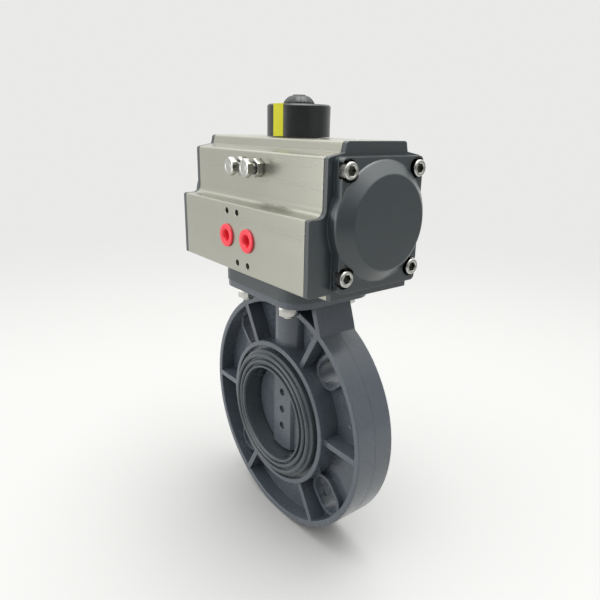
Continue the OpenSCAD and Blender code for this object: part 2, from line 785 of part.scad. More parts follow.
// Angle between an involute and the line to its foot, at the given radius
function involute(r) = let (a = acos(min(1, base_r / r))) tan(a) * 180 / PI - a;

// Half of a tooth's angle at the given radius, thinned by the mesh gap
function half_tooth(r) =
    90 / pinion_teeth - mesh_gap / pitch_r * 180 / PI + involute(pitch_r) - involute(max(r, base_r));

// Outline of the toothed pinion, with a gap facing +Y and -Y
function pinion_outline() = let (
        steps = 5,
        flank = concat([gear_root_r],
            [for (i = [0 : steps]) max(base_r, gear_root_r) + (gear_tip_r - base_r) * i / steps]))
    [for (t = [0 : pinion_teeth - 1], side = [-1, 1], i = [0 : steps + 1])
        let (
            r = flank[side < 0 ? i : steps + 1 - i],
            a = 360 / pinion_teeth * (t + 0.5) + 90 + side * half_tooth(r))
        [r * cos(a), r * sin(a)]];

// Round seat with two flats, for the cam
module cam_seat(r, z0, z1) {
    translate([0, 0, z0]) intersection() {
        cylinder(r = r, h = z1 - z0);
        translate([-r, 1.2 - r, 0]) cube([2 * r, 2 * (r - 1.2), z1 - z0]);
    }
}

module pinion() {
    low_groove_z = pinion_low + low_bush_l + 3.4;
    top_groove_z = top_bush_low + top_bush_l / 2;
    color([0.58, 0.59, 0.60]) difference() {
        union() {
            translate([0, 0, pinion_low]) cylinder(r = journal_r, h = gear_low - 3 - pinion_low);
            translate([0, 0, gear_low - 4]) cylinder(r = gear_root_r, h = 5);
            translate([0, 0, gear_low]) linear_extrude(pinion_face) polygon(pinion_outline());
            translate([0, 0, gear_top - 1]) cylinder(r = cam_seat_r + 1.3, h = cam_low - gear_top + 1);
            cam_seat(cam_seat_r, cam_low - 0.5, cam_top + 0.2);
            translate([0, 0, cam_top]) cylinder(r = neck_r, h = shaft_step_z - cam_top);
            translate([0, 0, clip_z]) cylinder(r = neck_r - clip_groove, h = shaft_top - clip_z);
        }
        translate([-socket_square / 2, -socket_square / 2, pinion_low - cut])
            cube([socket_square, socket_square, socket_depth + cut]);
        translate([0, 0, shaft_top - 10]) cylinder(r = tap_r + thread_gap, h = 10 + cut);
        tube(neck_r - clip_groove, neck_r + cut, clip_z - 0.05, clip_z + clip_t + 0.05);
        tube(journal_r - 1.8, journal_r + cut, low_groove_z - 1, low_groove_z + 1);
        tube(neck_r - 1.3, neck_r + cut, top_groove_z - 1, top_groove_z + 1);
    }
}

module pinion_bush_lower() {
    color([0.86, 0.85, 0.80]) tube(journal_r + running, low_bore_r, pinion_low, pinion_low + low_bush_l);
}

// Two short bushes over one another, with the seal between them
module pinion_bush_upper() {
    middle = top_bush_low + top_bush_l / 2;
    color([0.86, 0.85, 0.80]) difference() {
        tube(neck_r + running, top_bore_r, top_bush_low, top_bush_low + top_bush_l);
        translate([0, 0, middle - 1]) cylinder(r = neck_r + running + 0.6, h = 2);
    }
}

module pinion_seal_lower() {
    color([0.08, 0.08, 0.08]) translate([0, 0, pinion_low + low_bush_l + 3.4])
        ring_z(journal_r - 0.87, 0.9);
}

module pinion_seal_upper() {
    color([0.08, 0.08, 0.08]) translate([0, 0, top_bush_low + top_bush_l / 2])
        ring_z(neck_r - 0.65 + running, 0.6);
}

// Cam with two faces, a quarter turn apart, that meet the travel stops
module stop_cam() {
    reach = 60;
    color([0.50, 0.51, 0.52]) difference() {
        union() {
            translate([0, 0, cam_low]) cylinder(r = cam_hub_r, h = cam_t);
            translate([0, 0, cam_low]) intersection() {
                cylinder(r = cam_r, h = cam_t);
                linear_extrude(cam_t) union() {
                    polygon([[0, -cam_face], [reach, -cam_face], [reach, 0], [0, 0]]);
                    polygon([[-cam_face, 0], [-cam_face, reach], [0, reach], [0, 0]]);
                }
            }
        }
        cam_seat(cam_seat_r + seated, cam_low - cut, cam_top + cut);
    }
}

module thrust_washer() {
    color([0.80, 0.79, 0.72]) tube(neck_r + running, neck_r + 6, top_z + 0.05, top_z + 0.05 + washer_t);
}

module retaining_clip() {
    color([0.35, 0.35, 0.36]) difference() {
        tube(neck_r - clip_groove + seated, neck_r + 2.6, clip_z, clip_z + clip_t);
        translate([0, -2, clip_z - cut]) cube([neck_r + 4, 4, clip_t + 2 * cut]);
    }
}

// ---- Pistons, drawn for the +X side ----

// Teeth of a rack, pointing +Y, on the pitch line y = -pitch_r
module rack_teeth() {
    half_pitch_t = rack_pitch / 4 - mesh_gap;
    tip_half = half_pitch_t - rack_out * tan(pressure);
    root_half = half_pitch_t + (rack_root_y - pitch_r) * tan(pressure);
    last = floor((travel + 7) / rack_pitch);
    for (i = [-last : 2]) translate([i * rack_pitch, 0, 0])
        polygon([[-root_half, -rack_root_y - 0.5], [-root_half, -rack_root_y],
            [-tip_half, rack_out - pitch_r], [tip_half, rack_out - pitch_r],
            [root_half, -rack_root_y], [root_half, -rack_root_y - 0.5]]);
}

module piston() {
    seal_x = head_out - 2.4 - seal_groove / 2;
    guide_x = head_in + 2 + guide_w / 2;
    color([0.70, 0.70, 0.71]) difference() {
        union() {
            translate([0, 0, cyl_z]) rod_x(head_r, head_in, head_out);
            translate([0, 0, cyl_z - rack_h / 2]) linear_extrude(rack_h) {
                translate([-rack_reach, -rack_back_y])
                    square([rack_reach + head_in + 1, rack_back_y - rack_root_y]);
                rack_teeth();
            }
        }
        translate([0, 0, cyl_z]) {
            for (g = [[seal_x, seal_groove, seal_depth], [guide_x, guide_w, guide_t]]) difference() {
                rod_x(head_r + cut, g[0] - g[1] / 2, g[0] + g[1] / 2);
                rod_x(head_r - g[2], g[0] - g[1], g[0] + g[1]);
            }
        }
    }
}

module piston_seal() {
    color([0.08, 0.08, 0.08]) translate([head_out - 2.4 - seal_groove / 2, 0, cyl_z])
        rotate([0, 90, 0]) ring_z(ring_r - seal_wire_r, seal_wire_r);
}

module piston_guide() {
    x0 = head_in + 2 + seated;
    x1 = head_in + 2 + guide_w - seated;
    color([0.88, 0.87, 0.82]) translate([0, 0, cyl_z]) difference() {
        rod_x(ring_r, x0, x1);
        rod_x(head_r - guide_t + seated, x0 - cut, x1 + cut);
    }
}

// Pad behind the rack, round at the back like the cylinder
module rack_pad() {
    color([0.88, 0.87, 0.82]) translate([0, 0, cyl_z]) intersection() {
        rod_x(ring_r, 3 - rack_reach, head_in - 3);
        translate([-rack_reach, -cyl_r, -pad_half_h])
            cube([rack_reach + head_in, cyl_r - rack_back_y, 2 * pad_half_h]);
    }
}

// The same piston on the other side is this one turned half round the stem
module turned() {
    rotate([0, 0, 180]) children();
}

// ---- Indicator ----

// The band that the stripe fills, as deep as given, over the cup's top and down both sides
module stripe_band(w, r_out, top, depth) {
    rotate([0, 0, stripe_angle + 90]) intersection() {
        translate([-w / 2, -cup_d, cup_low + 0.2]) cube([w, 2 * cup_d, cup_h + cut]);
        difference() {
            translate([0, 0, cup_low]) cylinder(r = r_out, h = top - cup_low);
            translate([0, 0, cup_low - cut]) cylinder(r = cup_r - depth, h = cup_h - depth + cut);
        }
    }
}

module indicator_cup() {
    color([0.14, 0.15, 0.16]) difference() {
        union() {
            translate([0, 0, cup_low]) cylinder(r = cup_r, h = cup_h - 1);
            translate([0, 0, cup_top - 1]) cylinder(r1 = cup_r, r2 = cup_r - 1, h = 1);
        }
        difference() {
            translate([0, 0, cup_low - cut]) cylinder(r = cup_r - cup_wall, h = cup_h - 4 + cut);
            translate([0, 0, shaft_step_z]) cylinder(r = neck_r + 2.5, h = cup_h);
        }
        translate([0, 0, cup_low]) cylinder(r = neck_r - clip_groove + seated, h = shaft_top + 0.3 - cup_low);
        translate([0, 0, cup_low]) cylinder(r = 3.2, h = cup_h + cut);
        stripe_band(stripe_w + 0.1, cup_r + cut, cup_top + cut, stripe_t + 0.05);
    }
}

module indicator_stripe() {
    color([0.86, 0.86, 0.18]) difference() {
        stripe_band(stripe_w, cup_r + 0.1, cup_top + 0.1, stripe_t);
        translate([0, 0, cup_low]) cylinder(r = 3.2, h = cup_h + 2);
    }
}

// Low domed knob with a hexagon socket in its crown
module indicator_screw() {
    base = cup_top + 0.1;
    head_r = cup_screw_d / 2;
    rim_h = 1;
    flat_r = head_r * 0.46;
    flat_z = cup_screw_h - 0.6;
    dome_z = (flat_r * flat_r + flat_z * flat_z - head_r * head_r - rim_h * rim_h) / (2 * (flat_z - rim_h));
    dome_r = norm([head_r, rim_h - dome_z]);
    color([0.12, 0.12, 0.13]) difference() {
        union() {
            translate([0, 0, base]) rotate_extrude() polygon(concat([[0, 0], [head_r, 0]],
                arc([0, dome_z], dome_r, atan2(rim_h - dome_z, head_r), atan2(flat_z - dome_z, flat_r), 12),
                [[0, flat_z]]));
            translate([0, 0, base + 1]) cylinder(r = flat_r - 0.4, h = cup_screw_h - 1);
            translate([0, 0, shaft_top - 9]) cylinder(r = tap_r, h = base - shaft_top + 9.5);
        }
        translate([0, 0, base + cup_screw_h - 2.5]) hex(5, 3.5);
    }
}

valve_body();
seat_liner();
disc();
disc_screws();
stem();
stem_bush_upper();
stem_bush_lower();
stem_seals();
drive_sleeve();
adapter_plate();
mount_studs();
mount_nuts();
mount_washers();
actuator_body();
end_cap(port_z);  // end_cap_right
mirror([1, 0, 0]) end_cap(port_z - air_way_drop);  // end_cap_left
cap_gasket(port_z);  // cap_gasket_right
mirror([1, 0, 0]) cap_gasket(port_z - air_way_drop);  // cap_gasket_left
cap_screws();  // cap_screws_right
mirror([1, 0, 0]) cap_screws();  // cap_screws_left
stop_bolt();  // stop_bolt_right
mirror([1, 0, 0]) stop_bolt();  // stop_bolt_left
stop_nut();  // stop_nut_right
mirror([1, 0, 0]) stop_nut();  // stop_nut_left
port_plug();  // port_plug_right
mirror([1, 0, 0]) port_plug();  // port_plug_left
pinion();
stop_cam();
pinion_bush_upper();
pinion_bush_lower();
pinion_seal_upper();
pinion_seal_lower();
thrust_washer();
retaining_clip();
piston();  // piston_right
turned() piston();  // piston_left
piston_seal();  // piston_seal_right
turned() piston_seal();  // piston_seal_left
piston_guide();  // piston_guide_right
turned() piston_guide();  // piston_guide_left
rack_pad();  // rack_pad_right
turned() rack_pad();  // rack_pad_left
indicator_cup();
indicator_stripe();
indicator_screw();
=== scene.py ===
"""Looks for a wafer butterfly valve with a rack-and-pinion air actuator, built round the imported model."""

import json
import logging
from dataclasses import dataclass, field
from enum import Enum
from math import atan2, cos, pi, radians, sin, tau
from typing import Callable

import bmesh
import bpy
from mathutils import Matrix, Vector


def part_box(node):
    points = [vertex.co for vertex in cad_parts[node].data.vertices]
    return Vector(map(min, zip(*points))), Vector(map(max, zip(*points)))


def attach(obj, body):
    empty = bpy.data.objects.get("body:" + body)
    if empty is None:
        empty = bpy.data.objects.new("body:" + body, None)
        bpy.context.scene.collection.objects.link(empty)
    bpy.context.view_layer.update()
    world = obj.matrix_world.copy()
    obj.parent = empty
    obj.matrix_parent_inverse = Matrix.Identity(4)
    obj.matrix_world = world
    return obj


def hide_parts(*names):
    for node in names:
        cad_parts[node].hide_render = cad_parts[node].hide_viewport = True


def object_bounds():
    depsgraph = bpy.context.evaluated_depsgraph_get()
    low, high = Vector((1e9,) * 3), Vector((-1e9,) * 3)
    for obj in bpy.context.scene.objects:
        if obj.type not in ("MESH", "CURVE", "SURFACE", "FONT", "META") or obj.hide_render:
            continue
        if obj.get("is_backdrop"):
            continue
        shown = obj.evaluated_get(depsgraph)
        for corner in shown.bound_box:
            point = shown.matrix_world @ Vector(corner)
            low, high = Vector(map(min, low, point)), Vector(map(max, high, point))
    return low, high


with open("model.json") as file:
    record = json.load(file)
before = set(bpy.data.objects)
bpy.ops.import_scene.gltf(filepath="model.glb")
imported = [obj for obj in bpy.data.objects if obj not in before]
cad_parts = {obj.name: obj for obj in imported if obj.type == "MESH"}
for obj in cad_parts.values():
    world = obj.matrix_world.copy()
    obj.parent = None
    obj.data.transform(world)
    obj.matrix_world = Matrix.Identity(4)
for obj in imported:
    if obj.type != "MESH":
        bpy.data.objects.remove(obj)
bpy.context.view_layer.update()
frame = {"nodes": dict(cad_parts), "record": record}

log = logging.getLogger("valve")
MM = 0.001
WEAR_AND_HIGHLIGHT_WHITE = 0.45  # how far the colour of an edge goes towards white, partly wear and partly a painted highlight
FINE_SHARE = 0.6  # strength of the fine grain's tint against that of the blotches
SHADE_REACH = 5.0  # how far from a wall the painted shade in hollows reaches, in millimetres
ROOM_TINT = (1.0, 1.0, 0.985, 1.0)
Colour = tuple[float, float, float]
Point = tuple[float, float, float]


class Grain(Enum):
    """How a surface's fine marks run."""

    SPECKLE = "speckle"
    DRAWN = "drawn"
    TURNED = "turned"


def linear(colour: Colour) -> tuple[float, float, float, float]:
    """Turns a display colour into the shader's linear colour.

    Args:
        colour: Red, green and blue from 0 to 1, as seen on a display.

    Returns:
        The linear colour with full alpha.
    """
    channels = [c / 12.92 if c <= 0.04045 else ((c + 0.055) / 1.055) ** 2.4 for c in colour]
    return (channels[0], channels[1], channels[2], 1.0)


def add_node(tree: bpy.types.NodeTree, kind: str, **settings: object) -> bpy.types.Node:
    """Adds a node and sets its properties.

    Args:
        tree: The node tree.
        kind: The node's type name.
        settings: Property values of the node.

    Returns:
        The new node.
    """
    node = tree.nodes.new(kind)
    for key, value in settings.items():
        setattr(node, key, value)
    return node


@dataclass(frozen=True)
class Finish:
    """One surface finish, made as a node material."""

    name: str
    colour: Colour
    roughness: float
    metallic: float = 0.0
    specular: float = 0.5
    coat: float = 0.0
    grain: Grain = Grain.SPECKLE
    grain_mm: float = 0.5
    grain_depth_mm: float = 0.02
    mottle: float = 0.08
    mottle_mm: float = 22.0
    gloss_wander: float = 0.08
    edge_mm: float = 0.5
    # how much the outer edges pale: partly wear, partly a painted highlight along lit edges
    edge_wear_and_highlight: float = 0.25
    # strength of the painted shade that darkens hollows and inner corners
    hollow_shade: float = 0.0

    def build(self) -> bpy.types.Material:
        """Makes the material.

        Returns:
            The new material, ready for any piece.
        """
        material = bpy.data.materials.new(self.name)
        material.use_nodes = True
        tree = material.node_tree
        shader = tree.nodes["Principled BSDF"]
        shader.inputs["Metallic"].default_value = self.metallic
        shader.inputs["Specular IOR Level"].default_value = self.specular
        shader.inputs["Coat Weight"].default_value = self.coat
        shader.inputs["Coat Roughness"].default_value = 0.18
        place = add_node(tree, "ShaderNodeTexCoord").outputs["Object"]
        tree.links.new(self._tint(tree, place), shader.inputs["Base Color"])
        tree.links.new(self._gloss(tree, place), shader.inputs["Roughness"])
        tree.links.new(self._relief(tree, place), shader.inputs["Normal"])
        return material

    def _noise(self, tree: bpy.types.NodeTree, place: bpy.types.NodeSocket, size_mm: float,
               detail: float, stretch: Point = (1.0, 1.0, 1.0)) -> bpy.types.NodeSocket:
        """Adds a noise pattern.

        Args:
            tree: The material's node tree.
            place: The coordinate socket.
            size_mm: Size of one blotch.
            detail: How much finer detail the noise holds.
            stretch: How much denser the pattern is along each axis.

        Returns:
            The noise's value socket.
        """
        mapping = add_node(tree, "ShaderNodeMapping")
        mapping.inputs["Scale"].default_value = stretch
        noise = add_node(tree, "ShaderNodeTexNoise")
        noise.inputs["Scale"].default_value = 1.0 / (size_mm * MM)
        noise.inputs["Detail"].default_value = detail
        noise.inputs["Roughness"].default_value = 0.6
        tree.links.new(place, mapping.inputs["Vector"])
        tree.links.new(mapping.outputs["Vector"], noise.inputs["Vector"])
        return noise.outputs["Fac"]

    def _stretch(self) -> Point:
        """Gives how the fine grain is stretched for this finish."""
        return (0.02, 1.0, 1.0) if self.grain is Grain.DRAWN else (1.0, 1.0, 1.0)

    def _span(self, tree: bpy.types.NodeTree, value: bpy.types.NodeSocket,
              low: float, high: float, source: tuple[float, float] = (0.3, 0.7)) -> bpy.types.NodeSocket:
        """Spreads a pattern's value between two limits.

        Args:
            tree: The material's node tree.
            value: The pattern's value socket.
            low: Result at the source's lower limit.
            high: Result at the source's upper limit.
            source: The limits of the pattern's value.

        Returns:
            The spread value's socket.
        """
        span = add_node(tree, "ShaderNodeMapRange")
        span.inputs["From Min"].default_value = source[0]
        span.inputs["From Max"].default_value = source[1]
        span.inputs["To Min"].default_value = low
        span.inputs["To Max"].default_value = high
        tree.links.new(value, span.inputs["Value"])
        return span.outputs["Result"]

    def _tint(self, tree: bpy.types.NodeTree, place: bpy.types.NodeSocket) -> bpy.types.NodeSocket:
        """Builds the colour: soft blotches, fine grain, painted shade in hollows, and paler edges that are
        partly wear and partly painted highlight.

        Args:
            tree: The material's node tree.
            place: The coordinate socket.

        Returns:
            The colour socket.
        """
        blotch = self._noise(tree, place, self.mottle_mm, 4.0)
        fine = self._noise(tree, place, self.grain_mm, 2.0, self._stretch())
        shade = add_node(tree, "ShaderNodeMath", operation="MULTIPLY")
        for index, (pattern, depth) in enumerate(((blotch, self.mottle), (fine, self.mottle * FINE_SHARE))):
            tree.links.new(self._span(tree, pattern, 1.0 - depth, 1.0 + depth), shade.inputs[index])
        tint = add_node(tree, "ShaderNodeVectorMath", operation="SCALE")
        tint.inputs[0].default_value = linear(self.colour)[:3]
        tree.links.new(self._hollows(tree, shade.outputs[0]), tint.inputs["Scale"])
        # paler edges: partly wear, partly a painted highlight
        pale = add_node(tree, "ShaderNodeMix", data_type="RGBA")
        tree.links.new(self._edges(tree, place), pale.inputs["Factor"])
        tree.links.new(tint.outputs[0], pale.inputs["A"])
        light = [c + (1.0 - c) * WEAR_AND_HIGHLIGHT_WHITE for c in self.colour]
        pale.inputs["B"].default_value = linear((light[0], light[1], light[2]))
        return pale.outputs["Result"]

    def _hollows(self, tree: bpy.types.NodeTree, shade: bpy.types.NodeSocket) -> bpy.types.NodeSocket:
        """Paints shade into hollows and inner corners, darkening the colour where walls close in.

        Args:
            tree: The material's node tree.
            shade: The brightness so far.

        Returns:
            The brightness, darker in the hollows.
        """
        if not self.hollow_shade:
            return shade
        # painted shade: ambient occlusion darkens the colour in hollows, where shade falls
        open_air = add_node(tree, "ShaderNodeAmbientOcclusion", samples=4)
        open_air.inputs["Distance"].default_value = SHADE_REACH * MM
        keep = self._span(tree, open_air.outputs["AO"], 1.0 - self.hollow_shade, 1.0, (0.25, 0.8))
        darker = add_node(tree, "ShaderNodeMath", operation="MULTIPLY")
        tree.links.new(shade, darker.inputs[0])
        tree.links.new(keep, darker.inputs[1])
        return darker.outputs[0]

    def _edges(self, tree: bpy.types.NodeTree, place: bpy.types.NodeSocket) -> bpy.types.NodeSocket:
        """Finds the outer edges, broken up by noise so that their paling, partly wear and partly painted
        highlight, is uneven.

        Args:
            tree: The material's node tree.
            place: The coordinate socket.

        Returns:
            The edge mask's socket, from 0 to this finish's edge strength.
        """
        bevel = add_node(tree, "ShaderNodeBevel", samples=8)
        bevel.inputs["Radius"].default_value = self.edge_mm * MM
        geometry = add_node(tree, "ShaderNodeNewGeometry")
        dot = add_node(tree, "ShaderNodeVectorMath", operation="DOT_PRODUCT")
        tree.links.new(bevel.outputs["Normal"], dot.inputs[0])
        tree.links.new(geometry.outputs["Normal"], dot.inputs[1])
        turn = self._span(tree, dot.outputs["Value"], 1.0, 0.0, (0.72, 0.97))
        patches = self._noise(tree, place, 9.0, 3.0)
        wear_and_highlight = self._span(tree, patches, 0.3 * self.edge_wear_and_highlight, self.edge_wear_and_highlight, (0.4, 0.6))
        mask = add_node(tree, "ShaderNodeMath", operation="MULTIPLY")
        tree.links.new(turn, mask.inputs[0])
        tree.links.new(wear_and_highlight, mask.inputs[1])
        return mask.outputs[0]

    def _gloss(self, tree: bpy.types.NodeTree, place: bpy.types.NodeSocket) -> bpy.types.NodeSocket:
        """Builds the roughness, a little uneven as handled surfaces are.

        Args:
            tree: The material's node tree.
            place: The coordinate socket.

        Returns:
            The roughness socket.
        """
        smear = self._noise(tree, place, self.mottle_mm * 0.6, 3.0, self._stretch())
        low = max(0.03, self.roughness - self.gloss_wander)
        return self._span(tree, smear, low, min(1.0, self.roughness + self.gloss_wander))

    def _relief(self, tree: bpy.types.NodeTree, place: bpy.types.NodeSocket) -> bpy.types.NodeSocket:
        """Builds the fine relief over softly rounded edges.

        Args:
            tree: The material's node tree.
            place: The coordinate socket.

        Returns:
            The normal socket.
        """
        bevel = add_node(tree, "ShaderNodeBevel", samples=6)
        bevel.inputs["Radius"].default_value = self.edge_mm * MM
        bump = add_node(tree, "ShaderNodeBump")
        bump.inputs["Strength"].default_value = 0.6
        bump.inputs["Distance"].default_value = self.grain_depth_mm * MM
        if self.grain is Grain.TURNED:
            height = self._rings(tree, place)
        else:
            height = self._noise(tree, place, self.grain_mm, 3.0, self._stretch())
        tree.links.new(height, bump.inputs["Height"])
        tree.links.new(bevel.outputs["Normal"], bump.inputs["Normal"])
        return bump.outputs["Normal"]

    def _rings(self, tree: bpy.types.NodeTree, place: bpy.types.NodeSocket) -> bpy.types.NodeSocket:
        """Adds the fine rings that a lathe leaves.

        Args:
            tree: The material's node tree.
            place: The coordinate socket.

        Returns:
            The height socket.
        """
        wave = add_node(tree, "ShaderNodeTexWave", wave_type="BANDS", bands_direction="Z")
        wave.inputs["Scale"].default_value = 0.3 / (self.grain_mm * MM)
        wave.inputs["Distortion"].default_value = 0.6
        tree.links.new(place, wave.inputs["Vector"])
        return wave.outputs["Fac"]


FINISHES: dict[str, Finish] = {
    f.name: f for f in (
        Finish("valve_plastic", (0.290, 0.317, 0.347), 0.25, grain_mm=1.6, grain_depth_mm=0.010, mottle=0.03,
               gloss_wander=0.07, edge_mm=0.8, edge_wear_and_highlight=0.16, coat=0.2),
        Finish("seat_rubber", (0.238, 0.265, 0.282), 0.24, grain_mm=0.6, grain_depth_mm=0.012, mottle=0.08,
               gloss_wander=0.10, edge_mm=0.6, edge_wear_and_highlight=0.25),
        Finish("disc_plastic", (0.290, 0.320, 0.345), 0.28, grain_mm=0.8, grain_depth_mm=0.015, mottle=0.08,
               edge_mm=0.8, edge_wear_and_highlight=0.30),
        Finish("steel", (0.66, 0.67, 0.68), 0.32, metallic=1.0, grain=Grain.TURNED, grain_mm=0.3,
               grain_depth_mm=0.006, mottle=0.05, edge_mm=0.3, edge_wear_and_highlight=0.4),
        Finish("bearing_plastic", (0.86, 0.85, 0.79), 0.5, mottle=0.05, edge_mm=0.3, edge_wear_and_highlight=0.1),
        Finish("seal_rubber", (0.10, 0.10, 0.10), 0.5, mottle=0.1, edge_mm=0.2, edge_wear_and_highlight=0.1),
        Finish("plate_plastic", (0.225, 0.255, 0.268), 0.34, grain_mm=0.7, grain_depth_mm=0.02, mottle=0.05,
               edge_mm=0.9, edge_wear_and_highlight=0.30),
        # the fastener steel carries painted shade in its sockets and hollows
        Finish("fastener_steel", (0.74, 0.74, 0.72), 0.20, metallic=1.0, grain_mm=0.25, grain_depth_mm=0.004,
               mottle=0.08, mottle_mm=3.0, edge_mm=0.25, edge_wear_and_highlight=0.3, hollow_shade=0.8),
        Finish("anodised_body", (0.665, 0.665, 0.622), 0.29, metallic=0.85, grain=Grain.DRAWN, grain_mm=0.35,
               grain_depth_mm=0.003, mottle=0.02, mottle_mm=45.0, gloss_wander=0.05, edge_mm=0.6,
               edge_wear_and_highlight=0.6),
        # the cap paint carries painted shade in its hollows
        Finish("cap_paint", (0.163, 0.197, 0.212), 0.33, grain_mm=0.55, grain_depth_mm=0.02, mottle=0.04,
               gloss_wander=0.05, edge_mm=0.9, edge_wear_and_highlight=0.30, specular=0.7, coat=0.2, hollow_shade=0.55),
        Finish("red_plastic", (0.90, 0.20, 0.26), 0.33, mottle=0.04, edge_mm=0.4, edge_wear_and_highlight=0.15),
        Finish("piston_aluminium", (0.72, 0.72, 0.73), 0.38, metallic=1.0, grain_mm=0.8, mottle=0.06,
               edge_mm=0.4, edge_wear_and_highlight=0.3),
        Finish("black_plastic", (0.085, 0.102, 0.104), 0.32, grain_mm=0.6, grain_depth_mm=0.015, mottle=0.08,
               edge_mm=0.5, edge_wear_and_highlight=0.20),
        Finish("yellow_plastic", (0.74, 0.73, 0.03), 0.50, specular=0.3, mottle=0.04, edge_mm=0.2,
               edge_wear_and_highlight=0.1),
    )
}


@dataclass
class Workshop:
    """Makes materials once and dresses pieces with them."""

    materials: dict[str, bpy.types.Material] = field(default_factory=dict)

    def material(self, slot: str) -> bpy.types.Material:
        """Gives a finish's material, made on first use.

        Args:
            slot: Name of the finish, which is also the record's slot.

        Returns:
            The material.
        """
        if slot not in self.materials:
            self.materials[slot] = FINISHES[slot].build()
        return self.materials[slot]

    def dress_frame(self) -> None:
        """Gives every carried-over node its finish."""
        slots = {part["node"]: part["material_slot"] for part in frame["record"]["subparts"]}
        for name, node in frame["nodes"].items():
            material = self.material(slots[name])
            if not node.data.materials:
                node.data.materials.append(material)
            for index in range(len(node.material_slots)):
                node.material_slots[index].material = material
            log.info("dressed %s as %s", name, slots[name])


class Axis(Enum):
    """The way a piece modelled along +Z is turned to point."""

    UP = (0.0, 0.0, 0.0)
    FRONT = (pi / 2, 0.0, 0.0)
    BACK = (-pi / 2, 0.0, 0.0)
    RIGHT = (0.0, pi / 2, 0.0)
    LEFT = (0.0, -pi / 2, 0.0)


